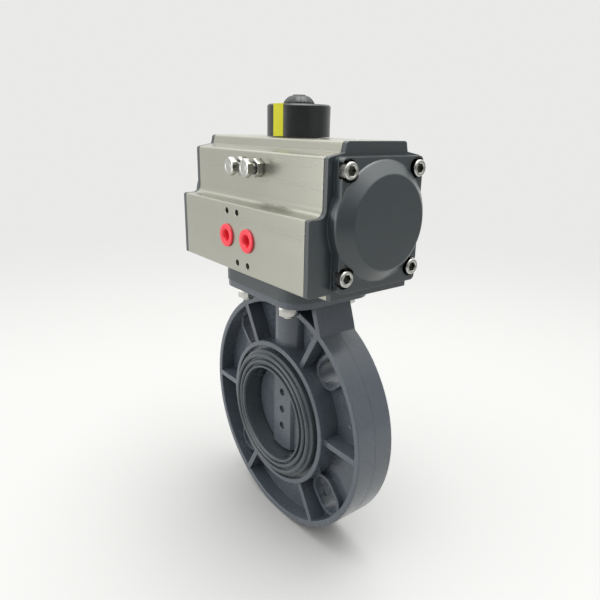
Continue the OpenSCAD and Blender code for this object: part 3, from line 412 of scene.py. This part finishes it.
class Bench:
    """The few modelling moves that every new piece is made with."""

    @staticmethod
    def clear() -> None:
        """Leaves edit mode and deselects everything."""
        if bpy.context.object and bpy.context.object.mode != "OBJECT":
            bpy.ops.object.mode_set(mode="OBJECT")
        bpy.ops.object.select_all(action="DESELECT")

    @staticmethod
    def only(piece: bpy.types.Object) -> None:
        """Selects one object alone and makes it active.

        Args:
            piece: The object to select.
        """
        Bench.clear()
        piece.select_set(True)
        bpy.context.view_layer.objects.active = piece

    @staticmethod
    def pick(piece: bpy.types.Object, test: Callable[[Vector, Vector], bool], faces: bool = True) -> int:
        """Goes to edit mode and selects faces, or vertices, by their place and normal.

        Args:
            piece: The object to edit.
            test: Takes a place and a normal, and says whether to select.
            faces: Whether faces are tested, or else vertices.

        Returns:
            How many were selected.
        """
        Bench.only(piece)
        bpy.ops.object.mode_set(mode="EDIT")
        bpy.ops.mesh.select_mode(type="FACE" if faces else "VERT")
        bpy.ops.mesh.select_all(action="DESELECT")
        mesh = bmesh.from_edit_mesh(piece.data)
        found = 0
        for item in (mesh.faces if faces else mesh.verts):
            place = item.calc_center_median() if faces else item.co
            if test(place, item.normal):
                item.select_set(True)
                found += 1
        mesh.select_flush_mode()
        bmesh.update_edit_mesh(piece.data)
        return found

    @staticmethod
    def scale(factor: float) -> None:
        """Scales the selection about the Z axis.

        Args:
            factor: How much wider the selection becomes.
        """
        bpy.ops.transform.resize(value=(factor, factor, 1.0), center_override=(0.0, 0.0, 0.0))

    @staticmethod
    def turned(name: str, profile: list[tuple[float, float]], steps: int = 64) -> bpy.types.Object:
        """Makes a turned piece by extruding one end along a profile.

        Args:
            name: The piece's name.
            profile: Radius and height of each step, in millimetres, from the bottom up and then inwards.
            steps: How many sides the piece has.

        Returns:
            The new object, along +Z.
        """
        (r0, z0), (r1, z1) = profile[:2]
        Bench.clear()
        bpy.ops.mesh.primitive_cone_add(vertices=steps, radius1=r0 * MM, radius2=r1 * MM,
                                        depth=(z1 - z0) * MM, location=(0.0, 0.0, (z0 + z1) / 2 * MM),
                                        end_fill_type="NGON")
        piece = bpy.context.active_object
        piece.name = name
        bpy.ops.object.transform_apply(location=True, rotation=True, scale=True)
        Bench.pick(piece, lambda place, normal: normal.z > 0.9 and place.z > (z1 - 0.001) * MM)
        radius, height = r1, z1
        for r, z in profile[2:]:
            bpy.ops.mesh.extrude_region_move(TRANSFORM_OT_translate={"value": (0.0, 0.0, (z - height) * MM)})
            Bench.scale(r / radius)
            radius, height = r, z
        bpy.ops.mesh.select_all(action="SELECT")
        bpy.ops.mesh.normals_make_consistent(inside=False)
        bpy.ops.object.mode_set(mode="OBJECT")
        return piece

    @staticmethod
    def hexagon(name: str, across: float, low: float, high: float) -> bpy.types.Object:
        """Makes a plain hexagonal bar along +Z, to be shaped further or to cut with.

        Args:
            name: The piece's name.
            across: Width across its flats, in millimetres.
            low: Height of its lower end, in millimetres.
            high: Height of its upper end, in millimetres.

        Returns:
            The new object.
        """
        Bench.clear()
        middle = (0.0, 0.0, (low + high) / 2 * MM)
        bpy.ops.mesh.primitive_cylinder_add(vertices=6, radius=across / cos(pi / 6) / 2 * MM,
                                            depth=(high - low) * MM, location=middle)
        piece = bpy.context.active_object
        piece.name = name
        bpy.ops.object.transform_apply(location=True, rotation=True, scale=True)
        return piece

    @staticmethod
    def combine(piece: bpy.types.Object, tool: bpy.types.Object, how: str) -> None:
        """Cuts or trims one piece with another, which is used up.

        Args:
            piece: The piece that stays.
            tool: The piece it is cut or trimmed with.
            how: DIFFERENCE, INTERSECT or UNION.
        """
        Bench.only(piece)
        cut = piece.modifiers.new("cut", "BOOLEAN")
        cut.operation = how
        cut.solver = "EXACT"
        cut.object = tool
        bpy.ops.object.modifier_apply(modifier=cut.name)
        bpy.data.objects.remove(tool, do_unlink=True)

    @staticmethod
    def soften(piece: bpy.types.Object, width: float, angle: float = 40.0, segments: int = 2) -> None:
        """Rounds a piece's sharp edges.

        Args:
            piece: The piece.
            width: Width of the rounding, in millimetres.
            angle: Edges sharper than this, in degrees, are rounded.
            segments: How many steps the rounding has.
        """
        Bench.only(piece)
        edge = piece.modifiers.new("edge", "BEVEL")
        edge.width = width * MM
        edge.segments = segments
        edge.limit_method = "ANGLE"
        edge.angle_limit = radians(angle)
        edge.use_clamp_overlap = True
        bpy.ops.object.modifier_apply(modifier=edge.name)

    @staticmethod
    def thread(name: str, radius: float, pitch: float, low: float, high: float) -> bpy.types.Object:
        """Makes the helical ridge of a screw thread.

        Args:
            name: The piece's name.
            radius: Outer radius of the thread, in millimetres.
            pitch: Distance from ridge to ridge, in millimetres.
            low: Height where it starts, in millimetres.
            high: Height where it ends, in millimetres.

        Returns:
            The new object, along +Z.
        """
        Bench.clear()
        ridge = pitch * 0.56
        bpy.ops.mesh.primitive_circle_add(vertices=3, radius=ridge * MM, fill_type="NOTHING",
                                          rotation=(pi / 2, 0, 0))
        piece = bpy.context.active_object
        piece.name = name
        bpy.ops.object.transform_apply(location=True, rotation=True, scale=True)
        piece.rotation_euler = (0.0, pi / 2, 0.0)
        bpy.ops.object.transform_apply(location=True, rotation=True, scale=True)
        piece.location = ((radius - ridge) * MM, 0.0, (low + ridge) * MM)
        bpy.ops.object.transform_apply(location=True, rotation=True, scale=True)
        wind = piece.modifiers.new("wind", "SCREW")
        wind.axis = "Z"
        wind.angle = tau
        wind.screw_offset = pitch * MM
        wind.iterations = max(1, int((high - low - 2 * ridge) / pitch))
        wind.steps = wind.render_steps = 28
        bpy.ops.object.modifier_apply(modifier=wind.name)
        bpy.ops.object.mode_set(mode="EDIT")
        bpy.ops.mesh.select_mode(type="EDGE")
        bpy.ops.mesh.select_all(action="DESELECT")
        bpy.ops.mesh.select_non_manifold()
        bpy.ops.mesh.fill()
        bpy.ops.mesh.select_all(action="SELECT")
        bpy.ops.mesh.normals_make_consistent(inside=False)
        bpy.ops.object.mode_set(mode="OBJECT")
        return piece

    @staticmethod
    def copy_to(piece: bpy.types.Object, place: Point, axis: Axis = Axis.UP) -> bpy.types.Object:
        """Copies a piece, with its own mesh, and sets it in its place.

        Args:
            piece: The piece, modelled along +Z at the origin.
            place: Where its origin goes, in metres.
            axis: The way it points.

        Returns:
            The copy, with its place in its mesh.
        """
        twin = bpy.data.objects.new(piece.name, piece.data.copy())
        bpy.context.scene.collection.objects.link(twin)
        twin.rotation_euler = axis.value
        twin.location = place
        Bench.only(twin)
        bpy.ops.object.transform_apply(location=True, rotation=True, scale=True)
        return twin

    @staticmethod
    def join(pieces: list[bpy.types.Object], name: str) -> bpy.types.Object:
        """Joins pieces into one object.

        Args:
            pieces: The pieces.
            name: The joined object's name.

        Returns:
            The joined object.
        """
        Bench.clear()
        for piece in pieces:
            piece.select_set(True)
        bpy.context.view_layer.objects.active = pieces[0]
        if len(pieces) > 1:
            bpy.ops.object.join()
        whole = bpy.context.view_layer.objects.active
        whole.name = name
        return whole


@dataclass
class Assembly:
    """A sub-assembly of new pieces."""

    workshop: Workshop

    def dress(self, piece: bpy.types.Object, body: str, slot: str, *nodes: str, angle: float = 35.0) -> None:
        """Finishes a piece: smooth shading, its material, the body it rides on and what it stands for.

        Args:
            piece: The new piece.
            body: The body it moves with.
            slot: The finish it takes.
            nodes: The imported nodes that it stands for.
            angle: Edges sharper than this, in degrees, stay crisp.
        """
        Bench.only(piece)
        bpy.ops.object.shade_smooth_by_angle(angle=radians(angle))
        piece.data.materials.clear()
        piece.data.materials.append(self.workshop.material(slot))
        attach(piece, body)
        if nodes:
            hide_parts(*nodes)
        log.info("made %s: %d faces, on %s", piece.name, len(piece.data.polygons), body)


@dataclass
class CapScrews(Assembly):
    """The eight socket-head screws that hold the end caps."""

    head_d: float = 10.0
    head_h: float = 6.0
    shank_d: float = 6.0
    socket: float = 5.0
    socket_depth: float = 3.4
    knurls: int = 44

    def build(self) -> None:
        """Models one screw and sets four in each cap."""
        screw = self._screw()
        for side, axis, sign in (("right", Axis.RIGHT, 1.0), ("left", Axis.LEFT, -1.0)):
            node = f"cap_screws_{side}"
            low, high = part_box(node)
            seat = (high[0] if sign > 0 else low[0]) - sign * self.head_h * MM
            inset = self.head_d / 2 * MM
            copies = [Bench.copy_to(screw, (seat, y, z), axis)
                      for y in (low[1] + inset, high[1] - inset) for z in (low[2] + inset, high[2] - inset)]
            screws = Bench.join(copies, f"socket_screws_{side}")
            self.dress(screws, "housing", "fastener_steel", node, angle=28.0)
        bpy.data.objects.remove(screw, do_unlink=True)

    def _screw(self) -> bpy.types.Object:
        """Models one screw: knurled head with a deep hexagon socket, and its shank."""
        r, h, shank = self.head_d / 2, self.head_h, self.shank_d / 2
        length = (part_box("cap_screws_right")[1][0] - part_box("cap_screws_right")[0][0]) / MM - h
        screw = Bench.turned("socket_screw", [
            (shank - 0.6, -length), (shank, 0.6 - length), (shank, 0.0), (r - 0.35, 0.0), (r, 0.35),
            (r, h - 1.1), (r - 0.12, h - 0.75), (r - 0.45, h - 0.25), (r - 0.9, h), (self.socket * 0.66, h),
            (self.socket * 0.55, h - 0.35)], self.knurls * 2)
        step = tau / (self.knurls * 2)
        tooth = lambda place: int(round(atan2(place.y, place.x) / step)) % 2 == 0
        Bench.pick(screw, lambda place, _: 0.3 * MM < place.z < (h - 1.0) * MM
                   and place.xy.length > (r - 0.2) * MM and tooth(place), faces=False)
        Bench.scale(1.0 - 0.32 / r)
        bpy.ops.object.mode_set(mode="OBJECT")
        socket = Bench.hexagon("socket", self.socket, h - self.socket_depth, h + 1.0)
        Bench.combine(screw, socket, "DIFFERENCE")
        return screw


@dataclass
class TravelStops(Assembly):
    """The two stop bolts on the side, with their lock nuts."""

    across: float = 10.0
    head_h: float = 4.0
    nut_h: float = 5.0
    bolt_d: float = 6.0
    pitch: float = 1.0
    hidden: float = 12.0

    def build(self) -> None:
        """Models one bolt and one nut and sets a pair of each."""
        low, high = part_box("stop_bolt_right")
        length = (high[1] - low[1]) / MM
        nut_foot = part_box("stop_nut_right")[1][1]
        core = self.bolt_d / 2
        bolt = Bench.join([
            Bench.turned("stop_bolt", [(core - 0.9, -length + 0.2), (core - 0.55, 0.6 - length),
                                       (core - 0.55, -0.2), (core - 0.9, -0.1)], 32),
            Bench.thread("ridge", core - 0.02, self.pitch,
                         (nut_foot - low[1]) / MM - length + self.hidden, 0.2),
            self._head()], "stop_bolt")
        nut = self._nut()
        for side in ("right", "left"):
            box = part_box(f"stop_bolt_{side}")
            place = ((box[0][0] + box[1][0]) / 2, box[0][1], (box[0][2] + box[1][2]) / 2)
            self.dress(Bench.join([Bench.copy_to(bolt, place, Axis.FRONT)], f"travel_bolt_{side}"), "housing",
                       "fastener_steel", f"stop_bolt_{side}", angle=30.0)
            foot = (place[0], nut_foot, place[2])
            self.dress(Bench.join([Bench.copy_to(nut, foot, Axis.FRONT)], f"lock_nut_{side}"), "housing",
                       "fastener_steel", f"stop_nut_{side}", angle=30.0)
        for spare in (bolt, nut):
            bpy.data.objects.remove(spare, do_unlink=True)

    def _head(self) -> bpy.types.Object:
        """Models a hexagon head, its top corners turned off, its face dished; its top is at the origin."""
        flat, corner = self.across / 2, self.across / cos(pi / 6) / 2
        head = Bench.turned("head", [(corner + 0.3, -self.head_h), (corner + 0.3, -0.55), (flat - 0.15, 0.0),
                                     (flat - 1.3, 0.0), (flat - 1.6, -0.18)], 64)
        Bench.combine(head, Bench.hexagon("flats", self.across, -self.head_h - 1.0, 1.0), "INTERSECT")
        Bench.soften(head, 0.14, 50.0)
        return head

    def _nut(self) -> bpy.types.Object:
        """Models a lock nut, both ends turned off, standing on the origin."""
        flat, corner, bore = self.across / 2, self.across / cos(pi / 6) / 2, self.bolt_d / 2 + 0.02
        nut = Bench.turned("nut", [(flat - 0.1, 0.0), (corner + 0.3, 0.6), (corner + 0.3, self.nut_h - 0.6),
                                   (flat - 0.1, self.nut_h), (bore + 0.45, self.nut_h)], 64)
        Bench.combine(nut, Bench.hexagon("flats", self.across, -1.0, self.nut_h + 1.0), "INTERSECT")
        hole = Bench.turned("hole", [(bore, -1.0), (bore, self.nut_h - 0.4),
                                     (bore + 0.7, self.nut_h + 0.4)], 48)
        Bench.combine(nut, hole, "DIFFERENCE")
        Bench.soften(nut, 0.12, 50.0)
        return nut


@dataclass
class MountFasteners(Assembly):
    """The threaded ends of the four mounting studs, with their nuts."""

    stud_d: float = 8.0
    across: float = 13.0
    pitch: float = 1.25

    def build(self) -> None:
        """Models one stud and one nut and sets four of each."""
        low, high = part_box("mount_studs")
        nut_low, nut_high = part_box("mount_nuts")
        core, length = self.stud_d / 2, (high[2] - low[2]) / MM
        out = (nut_low[2] - low[2]) / MM
        stud = Bench.join([
            Bench.turned("stud", [(core - 1.2, 0.0), (core - 0.68, 0.6), (core - 0.68, out + 1.0),
                                  (core - 0.02, out + 1.4), (core - 0.02, length)], 40),
            Bench.thread("ridge", core - 0.02, self.pitch, 0.1, out + 3.4)], "stud")
        flat, corner = self.across / 2, self.across / cos(pi / 6) / 2
        height = (nut_high[2] - nut_low[2]) / MM
        nut = Bench.turned("nut", [(flat - 0.1, 0.0), (corner + 0.3, 0.85), (corner + 0.3, height - 0.4),
                                   (flat, height)], 64)
        Bench.combine(nut, Bench.hexagon("flats", self.across, -1.0, height + 1.0), "INTERSECT")
        hole = Bench.turned("hole", [(core + 0.8, -0.4), (core + 0.02, 0.5), (core + 0.02, height + 1.0)], 48)
        Bench.combine(nut, hole, "DIFFERENCE")
        Bench.soften(nut, 0.15, 50.0)
        half_x = (high[0] - low[0]) / 2 - core * MM
        half_y = (high[1] - low[1]) / 2 - core * MM
        spots = [(x, y) for x in (-half_x, half_x) for y in (-half_y, half_y)]
        studs = [Bench.copy_to(stud, (x, y, low[2])) for x, y in spots]
        nuts = [Bench.copy_to(nut, (x, y, nut_low[2])) for x, y in spots]
        for spare in (stud, nut):
            bpy.data.objects.remove(spare, do_unlink=True)
        for copies, name, node in ((studs, "threaded_studs", "mount_studs"),
                                   (nuts, "hexagon_nuts", "mount_nuts")):
            self.dress(Bench.join(copies, name), "housing", "fastener_steel", node, angle=30.0)


@dataclass
class PortPlugs(Assembly):
    """The two soft red plugs in the air ports."""

    flange_h: float = 1.5
    stem_r: float = 5.7
    hollow_r: float = 3.3

    def build(self) -> None:
        """Models one plug and sets it in both ports."""
        low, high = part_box("port_plug_right")
        flange = (high[0] - low[0]) / 2 / MM
        depth = (high[1] - low[1]) / MM - self.flange_h
        h, hollow = self.flange_h, self.hollow_r
        plug = Bench.turned("plug", [
            (self.stem_r - 0.6, -depth), (self.stem_r, 0.8 - depth), (self.stem_r, -0.5), (self.stem_r, 0.02),
            (flange - 0.35, 0.02), (flange, 0.35), (flange, h - 0.6), (flange - 0.2, h - 0.2),
            (flange - 0.65, h), (hollow + 1.6, h), (hollow + 1.15, h - 0.15), (hollow + 0.75, h - 0.6),
            (hollow + 0.3, h - 1.6), (hollow, h - 3.0), (hollow - 0.2, 2.6 - depth),
            (hollow - 0.8, 2.0 - depth), (0.4, 1.9 - depth)], 56)
        for side in ("right", "left"):
            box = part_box(f"port_plug_{side}")
            place = ((box[0][0] + box[1][0]) / 2, box[0][1] + h * MM, (box[0][2] + box[1][2]) / 2)
            self.dress(Bench.join([Bench.copy_to(plug, place, Axis.FRONT)], f"red_plug_{side}"), "housing",
                       "red_plastic", f"port_plug_{side}", angle=45.0)
        bpy.data.objects.remove(plug, do_unlink=True)


@dataclass
class IndicatorKnob(Assembly):
    """The low fluted knob that holds the indicator cup."""

    flutes: int = 8
    socket: float = 5.0

    def build(self) -> None:
        """Models the knob in place of the plain one."""
        low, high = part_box("indicator_screw")
        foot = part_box("indicator_cup")[1][2]
        wide = (high[0] - low[0]) / 2 / MM
        tall = (high[2] - foot) / MM
        shank = (foot - low[2]) / MM
        rows = 9
        dome = []
        for row in range(rows + 1):
            t = row / rows
            dome.append((wide * (1.0 - 0.54 * t ** 1.15), 0.9 + (tall - 1.5) * sin(t * pi / 2)))
        crown = wide * 0.42
        profile = [(2.2, -shank), (2.5, 0.4 - shank), (2.5, -0.1), (2.5, 0.1), (wide - 0.3, 0.1), (wide, 0.4)]
        profile += dome + [(crown, tall - 0.55), (crown, tall - 0.2), (crown - 0.25, tall), (3.2, tall)]
        knob = Bench.turned("indicator_knob", profile, 96)
        step = tau / self.flutes
        for share, depth in ((0.24, 0.02), (0.17, 0.03), (0.10, 0.02)):
            Bench.pick(knob, lambda place, _, share=share: 0.3 * MM < place.z < (tall - 0.75) * MM
                       and place.xy.length > (crown + 0.8) * MM
                       and abs((atan2(place.y, place.x) / step) % 1.0 - 0.5) < share, faces=False)
            Bench.scale(1.0 - depth)
            bpy.ops.object.mode_set(mode="OBJECT")
        Bench.combine(knob, Bench.hexagon("socket", self.socket, tall - 2.5, tall + 1.0), "DIFFERENCE")
        centre = ((low[0] + high[0]) / 2, (low[1] + high[1]) / 2, foot)
        self.dress(Bench.join([Bench.copy_to(knob, centre)], "indicator_knob"), "drive", "black_plastic",
                   "indicator_screw", angle=40.0)
        bpy.data.objects.remove(knob, do_unlink=True)


@dataclass
class MouldMarks(Assembly):
    """What the mould leaves on the valve body: the split line and the ejector-pin marks."""

    line_w: float = 0.4
    line_h: float = 0.07
    pin_r: float = 2.6
    pin_circle: float = 67.0
    pin_angles: tuple[float, ...] = (12.0, 70.0, 132.0, 192.0, 252.0, 312.0)
    web_half: float = 2.5

    def build(self) -> None:
        """Models the split line round the rim and the pin marks on the web."""
        low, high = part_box("valve_body")
        self._split_line((high[0] - low[0]) / 2)
        self._pins()

    def _split_line(self, rim: float) -> None:
        """Models the thin raised line round the rim, between the feet of the neck.

        Args:
            rim: Outer radius of the rim.
        """
        Bench.clear()
        bpy.ops.mesh.primitive_torus_add(major_segments=240, minor_segments=8, major_radius=rim,
                                         minor_radius=self.line_h * MM, rotation=(pi / 2, 0.0, 0.0))
        line = bpy.context.active_object
        line.name = "split_line"
        bpy.ops.object.transform_apply(location=True, rotation=True, scale=True)
        Bench.pick(line, lambda place, _: True, faces=False)
        widen = self.line_w / 2 / self.line_h
        bpy.ops.transform.resize(value=(1.0, widen, 1.0), center_override=(0.0, 0.0, 0.0))
        bpy.ops.object.mode_set(mode="OBJECT")
        self.dress(line, "housing", "valve_plastic", angle=60.0)

    def _pins(self) -> None:
        """Models the round marks that the ejector pins leave on both faces of the web."""
        pin = Bench.turned("pin_mark", [(self.pin_r, -0.4), (self.pin_r, 0.06), (self.pin_r - 0.12, 0.14),
                                        (self.pin_r - 0.5, 0.14), (self.pin_r - 0.7, 0.05)], 32)
        marks = []
        for angle in map(radians, self.pin_angles):
            x, z = self.pin_circle * cos(angle) * MM, self.pin_circle * sin(angle) * MM
            marks += [Bench.copy_to(pin, (x, -self.web_half * MM, z), Axis.FRONT),
                      Bench.copy_to(pin, (x, self.web_half * MM, z), Axis.BACK)]
        bpy.data.objects.remove(pin, do_unlink=True)
        self.dress(Bench.join(marks, "pin_marks"), "housing", "valve_plastic")


@dataclass(frozen=True)
class Panel:
    """One square soft light, with its place and target in metres and its power in watts."""

    name: str
    place: Point
    target: Point
    size: float
    power: float

    def hang(self) -> None:
        """Hangs the light so that it faces its target."""
        light = bpy.data.lights.new(self.name, "AREA")
        light.size = self.size
        light.energy = self.power
        lamp = bpy.data.objects.new(self.name, light)
        lamp.location = self.place
        lamp.rotation_euler = (Vector(self.target) - Vector(self.place)).to_track_quat("-Z", "Y").to_euler()
        bpy.context.scene.collection.objects.link(lamp)


@dataclass
class Studio:
    """Floor, lights and camera."""

    azimuth: float = 52.0
    elevation: float = 17.76
    roll: float = 1.16
    lens: float = 32.62
    eye_mm: Point = (293.25, -225.11, 202.3)
    floor_size: float = 60.0
    dark_side: Point = (0.97, -0.14, 0.0)
    room_light: float = 0.82
    dark_light: float = 0.32
    sky_light: float = 1.5
    sky_span: tuple[float, float] = (0.25, 0.95)
    dark_span: tuple[float, float] = (-0.2, 0.8)
    floor_far: tuple[float, float] = (0.25, 1.4)
    floor_colour: tuple[float, float, float, float] = (0.44, 0.44, 0.435, 1.0)
    floor_gap: float = 0.0002
    panels: tuple[Panel, ...] = (
        Panel("overhead", (0.15, 0.1, 1.3), (0.0, 0.0, 0.1), 0.9, 12.0),
        Panel("front", (-0.34, -1.02, 0.02), (0.0, 0.0, -0.02), 0.9, 6.0),
        Panel("right_low", (1.1, 0.45, 0.10), (0.0, 0.0, -0.03), 0.7, 0.5),
    )

    def build(self) -> None:
        """Sets up the whole studio."""
        self._floor()
        self._world()
        for panel in self.panels:
            panel.hang()
        self._camera()

    def _floor(self) -> None:
        """Lays a plain pale floor under the rim."""
        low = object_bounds()[0]
        bpy.ops.object.select_all(action="DESELECT")
        bpy.ops.mesh.primitive_plane_add(size=self.floor_size, location=(0.0, 0.0, low[2] - self.floor_gap))
        floor = bpy.context.active_object
        floor.name = "studio_floor"
        material = bpy.data.materials.new("studio_floor")
        material.use_nodes = True
        tree = material.node_tree
        shader = tree.nodes["Principled BSDF"]
        shader.inputs["Base Color"].default_value = self.floor_colour
        shader.inputs["Roughness"].default_value = 0.6
        glow = add_node(tree, "ShaderNodeEmission")
        glow.inputs["Color"].default_value = ROOM_TINT
        place = add_node(tree, "ShaderNodeTexCoord").outputs["Object"]
        tree.links.new(self._room(tree, place), glow.inputs["Strength"])
        away = add_node(tree, "ShaderNodeVectorMath", operation="LENGTH")
        tree.links.new(place, away.inputs[0])
        blend = add_node(tree, "ShaderNodeMixShader")
        tree.links.new(self._ramp(tree, away.outputs["Value"], self.floor_far, 0.0, 1.0), blend.inputs["Fac"])
        tree.links.new(shader.outputs["BSDF"], blend.inputs[1])
        tree.links.new(glow.outputs["Emission"], blend.inputs[2])
        tree.links.new(blend.outputs["Shader"], tree.nodes["Material Output"].inputs["Surface"])
        floor.data.materials.append(material)
        floor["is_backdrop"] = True

    def _world(self) -> None:
        """Fills the room with soft pale light."""
        world = bpy.data.worlds.new("studio")
        world.use_nodes = True
        tree = world.node_tree
        background = tree.nodes["Background"]
        way = add_node(tree, "ShaderNodeTexCoord").outputs["Generated"]
        both = add_node(tree, "ShaderNodeMath", operation="ADD")
        tree.links.new(self._room(tree, way), both.inputs[0])
        tree.links.new(self._sky(tree, way), both.inputs[1])
        tree.links.new(both.outputs["Value"], background.inputs["Strength"])
        background.inputs["Color"].default_value = ROOM_TINT
        bpy.context.scene.world = world
        bpy.context.scene.view_settings.view_transform = "Standard"

    def _room(self, tree: bpy.types.NodeTree, way: bpy.types.NodeSocket) -> bpy.types.NodeSocket:
        """Gives the room's brightness in one direction, dim on its dark side.

        Args:
            tree: The node tree.
            way: The socket with the direction, of any length.

        Returns:
            The socket with the strength.
        """
        unit = add_node(tree, "ShaderNodeVectorMath", operation="NORMALIZE")
        facing = add_node(tree, "ShaderNodeVectorMath", operation="DOT_PRODUCT")
        facing.inputs[1].default_value = self.dark_side
        tree.links.new(way, unit.inputs[0])
        tree.links.new(unit.outputs["Vector"], facing.inputs[0])
        return self._ramp(tree, facing.outputs["Value"], self.dark_span, self.room_light, self.dark_light)

    def _sky(self, tree: bpy.types.NodeTree, way: bpy.types.NodeSocket) -> bpy.types.NodeSocket:
        """Adds the light that the room's ceiling gives, strongest overhead.

        Args:
            tree: The world's node tree.
            way: The socket with the direction.

        Returns:
            The socket with the added strength.
        """
        parts = add_node(tree, "ShaderNodeSeparateXYZ")
        tree.links.new(way, parts.inputs["Vector"])
        return self._ramp(tree, parts.outputs["Z"], self.sky_span, 0.0, self.sky_light)

    def _ramp(self, tree: bpy.types.NodeTree, value: bpy.types.NodeSocket, span: tuple[float, float],
              low: float, high: float) -> bpy.types.NodeSocket:
        """Turns a value into a smooth step.

        Args:
            tree: The node tree.
            value: The socket with the value.
            span: Where the step starts and ends.
            low: Result before the step.
            high: Result after the step.

        Returns:
            The result's socket.
        """
        ramp = add_node(tree, "ShaderNodeMapRange", interpolation_type="SMOOTHSTEP")
        ramp.inputs["From Min"].default_value, ramp.inputs["From Max"].default_value = span
        ramp.inputs["To Min"].default_value = low
        ramp.inputs["To Max"].default_value = high
        tree.links.new(value, ramp.inputs["Value"])
        return ramp.outputs["Result"]

    def _camera(self) -> None:
        """Places the camera by its azimuth, elevation, roll and eye point."""
        a, e, r = radians(self.azimuth), radians(self.elevation), radians(self.roll)
        back = Vector((sin(a) * cos(e), -cos(a) * cos(e), sin(e)))
        level = Vector((cos(a), sin(a), 0.0))
        high = back.cross(level)
        right = level * cos(r) + high * sin(r)
        up = high * cos(r) - level * sin(r)
        data = bpy.data.cameras.new("camera")
        data.lens = self.lens
        data.sensor_width = 36.0
        data.clip_start = 0.01
        camera = bpy.data.objects.new("camera", data)
        turn = Matrix((right, up, back)).transposed().to_4x4()
        camera.matrix_world = Matrix.Translation(Vector(self.eye_mm) * MM) @ turn
        bpy.context.scene.collection.objects.link(camera)
        bpy.context.scene.camera = camera


def main() -> None:
    """Builds everything in order."""
    logging.basicConfig(level=logging.INFO, format="%(message)s")
    workshop = Workshop()
    workshop.dress_frame()
    for assembly in (CapScrews, TravelStops, MountFasteners, PortPlugs, IndicatorKnob, MouldMarks):
        assembly(workshop).build()
    Studio().build()


if __name__ == "__main__":
    main()
